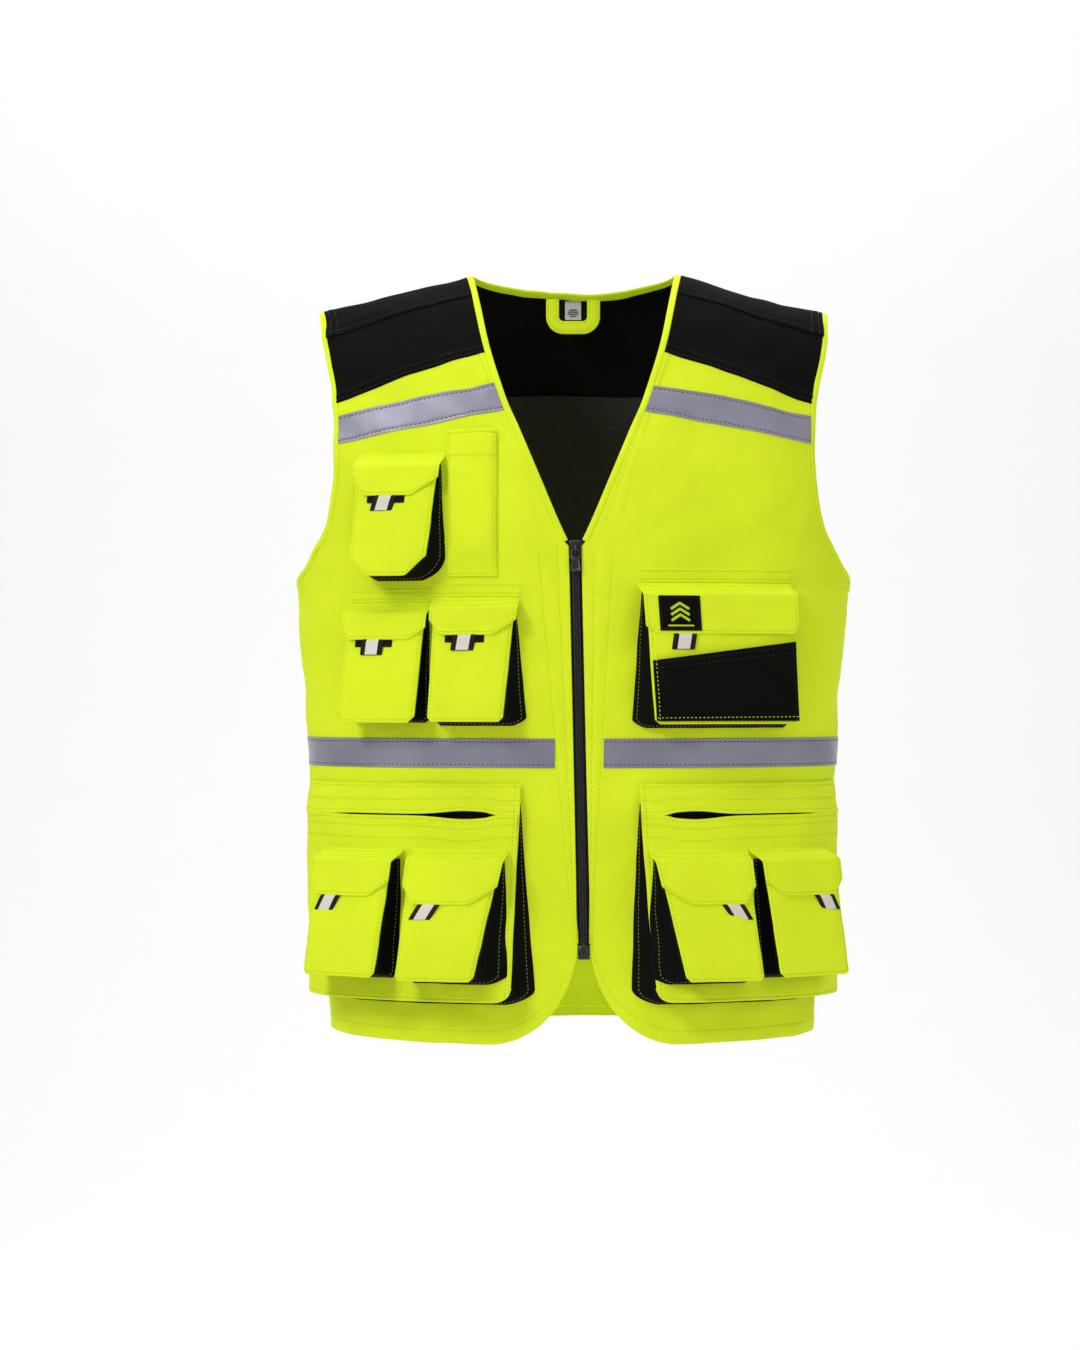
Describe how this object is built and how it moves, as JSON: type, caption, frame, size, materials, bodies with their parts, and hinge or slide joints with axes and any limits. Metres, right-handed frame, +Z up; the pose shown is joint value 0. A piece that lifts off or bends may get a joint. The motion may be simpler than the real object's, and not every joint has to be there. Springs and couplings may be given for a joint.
{
  "type": "high visibility vest",
  "caption": "Sleeveless high visibility work vest with a front zip, reflective tapes, flap pockets and cargo pockets.",
  "frame": {"origin": "at the neck, midway between the two inner ends of the shoulder seams, where the vest rests on the shoulders", "axes": "+Z up, -Y to the wearer's front, +X to the wearer's left"},
  "size_m": [0.518, 0.2884, 0.7087],
  "materials": {
    "hi_vis_yellow": "fluorescent yellow polyester-cotton twill, matt",
    "black_cloth": "black woven polyester, matt",
    "mesh_lining": "dark knitted mesh lining",
    "reflective_tape": "silver grey glass-bead tape",
    "zip_nylon": "black moulded zip",
    "gunmetal": "dark nickel plated",
    "label_white": "white woven satin"
  },
  "bodies": {
    "torso": {"back_panel": "hi_vis_yellow", "back_yoke": "black_cloth", "back_mesh_lining": "mesh_lining", "front_yoke_right": "black_cloth", "front_yoke_left": "black_cloth", "neck_binding": "hi_vis_yellow", "armhole_binding_back_right": "hi_vis_yellow", "armhole_binding_back_left": "hi_vis_yellow", "size_label": "label_white", "back_chest_tape": "reflective_tape", "back_waist_tape": "reflective_tape"},
    "hanger_loop": {"hanger_loop": "hi_vis_yellow"},
    "right_front": {"phone_pocket_face": "hi_vis_yellow", "phone_pocket_gusset": "black_cloth", "mid_outer_pocket_face": "hi_vis_yellow", "mid_outer_pocket_gusset": "black_cloth", "mid_inner_pocket_face": "hi_vis_yellow", "mid_inner_pocket_gusset": "black_cloth", "cargo_right_inner_pocket_face": "hi_vis_yellow", "cargo_right_inner_pocket_gusset": "black_cloth", "cargo_right_outer_pocket_face": "hi_vis_yellow", "cargo_right_outer_pocket_gusset": "black_cloth", "front_panel_right": "hi_vis_yellow", "v_binding_right": "hi_vis_yellow", "armhole_binding_front_right": "hi_vis_yellow", "chest_tape_right": "reflective_tape", "waist_tape_right": "reflective_tape", "zip_tape_right": "zip_nylon", "zip_chain_right": "zip_nylon", "cargo_right_face": "hi_vis_yellow", "cargo_right_gusset": "black_cloth", "zip_retainer_box": "zip_nylon", "pen_pocket": "hi_vis_yellow"},
    "left_front": {"document_pocket_face": "hi_vis_yellow", "document_pocket_gusset": "black_cloth", "cargo_left_inner_pocket_face": "hi_vis_yellow", "cargo_left_inner_pocket_gusset": "black_cloth", "cargo_left_outer_pocket_face": "hi_vis_yellow", "cargo_left_outer_pocket_gusset": "black_cloth", "front_panel_left": "hi_vis_yellow", "v_binding_left": "hi_vis_yellow", "armhole_binding_front_left": "hi_vis_yellow", "chest_tape_left": "reflective_tape", "waist_tape_left": "reflective_tape", "zip_tape_left": "zip_nylon", "zip_chain_left": "zip_nylon", "cargo_left_face": "hi_vis_yellow", "cargo_left_gusset": "black_cloth", "document_overlay_pocket": "black_cloth"},
    "phone_flap": {"phone_pocket_flap": "hi_vis_yellow"},
    "mid_outer_flap": {"mid_outer_pocket_flap": "hi_vis_yellow"},
    "mid_inner_flap": {"mid_inner_pocket_flap": "hi_vis_yellow"},
    "document_flap": {"document_pocket_flap": "hi_vis_yellow", "label_patch": "black_cloth"},
    "cargo_right_inner_flap": {"cargo_right_inner_pocket_flap": "hi_vis_yellow"},
    "cargo_right_outer_flap": {"cargo_right_outer_pocket_flap": "hi_vis_yellow"},
    "cargo_left_inner_flap": {"cargo_left_inner_pocket_flap": "hi_vis_yellow"},
    "cargo_left_outer_flap": {"cargo_left_outer_pocket_flap": "hi_vis_yellow"},
    "zip_slider": {"zip_slider": "gunmetal"},
    "zip_puller": {"zip_puller": "gunmetal"}
  },
  "joints": [
    {"name": "right_front_open", "type": "hinge", "parent": "torso", "child": "right_front", "pos_m": [-0.2266, 0, -0.709], "axis": [0.076, 0, -0.9971], "range_deg": [0, 25]},
    {"name": "left_front_open", "type": "hinge", "parent": "torso", "child": "left_front", "pos_m": [0.2266, 0, -0.709], "axis": [0.076, 0, 0.9971], "range_deg": [0, 25]},
    {"name": "phone_flap_lift", "type": "hinge", "parent": "right_front", "child": "phone_flap", "pos_m": [-0.15735, -0.10955, -0.174], "axis": [-0.9632, 0.2688, 0], "range_deg": [0, 120]},
    {"name": "mid_outer_flap_lift", "type": "hinge", "parent": "right_front", "child": "mid_outer_flap", "pos_m": [-0.16802, -0.11063, -0.309], "axis": [-0.9396, 0.3422, 0], "range_deg": [0, 95]},
    {"name": "mid_inner_flap_lift", "type": "hinge", "parent": "right_front", "child": "mid_inner_flap", "pos_m": [-0.08943, -0.12847, -0.304], "axis": [-0.9927, 0.1208, 0], "range_deg": [0, 95]},
    {"name": "document_flap_lift", "type": "hinge", "parent": "left_front", "child": "document_flap", "pos_m": [0.12869, -0.12202, -0.291], "axis": [-0.9775, -0.2109, 0], "range_deg": [0, 120]},
    {"name": "cargo_right_inner_flap_lift", "type": "hinge", "parent": "right_front", "child": "cargo_right_inner_flap", "pos_m": [-0.10469, -0.13679, -0.531], "axis": [-0.9843, 0.1763, 0], "range_deg": [0, 120]},
    {"name": "cargo_right_outer_flap_lift", "type": "hinge", "parent": "right_front", "child": "cargo_right_outer_flap", "pos_m": [-0.19524, -0.10462, -0.531], "axis": [-0.8485, 0.5292, 0], "range_deg": [0, 120]},
    {"name": "cargo_left_inner_flap_lift", "type": "hinge", "parent": "left_front", "child": "cargo_left_inner_flap", "pos_m": [0.11179, -0.13545, -0.531], "axis": [-0.9808, -0.1952, 0], "range_deg": [0, 120]},
    {"name": "cargo_left_outer_flap_lift", "type": "hinge", "parent": "left_front", "child": "cargo_left_outer_flap", "pos_m": [0.19816, -0.10276, -0.531], "axis": [-0.8373, -0.5467, 0], "range_deg": [0, 120]},
    {"name": "zip_slider_travel", "type": "slide", "parent": "right_front", "child": "zip_slider", "axis": [0.0219, 0, -0.9998], "range_m": [0, 0.346]},
    {"name": "zip_puller_swing", "type": "hinge", "parent": "zip_slider", "child": "zip_puller", "pos_m": [0.00037, -0.1351, -0.2615], "axis": [-1, 0, 0], "range_deg": [0, 165]},
    {"name": "hanger_loop_swing", "type": "hinge", "parent": "torso", "child": "hanger_loop", "pos_m": [0, 0.03615, -0.01665], "axis": [-1, 0, 0], "range_deg": [0, 110]}
  ]
}
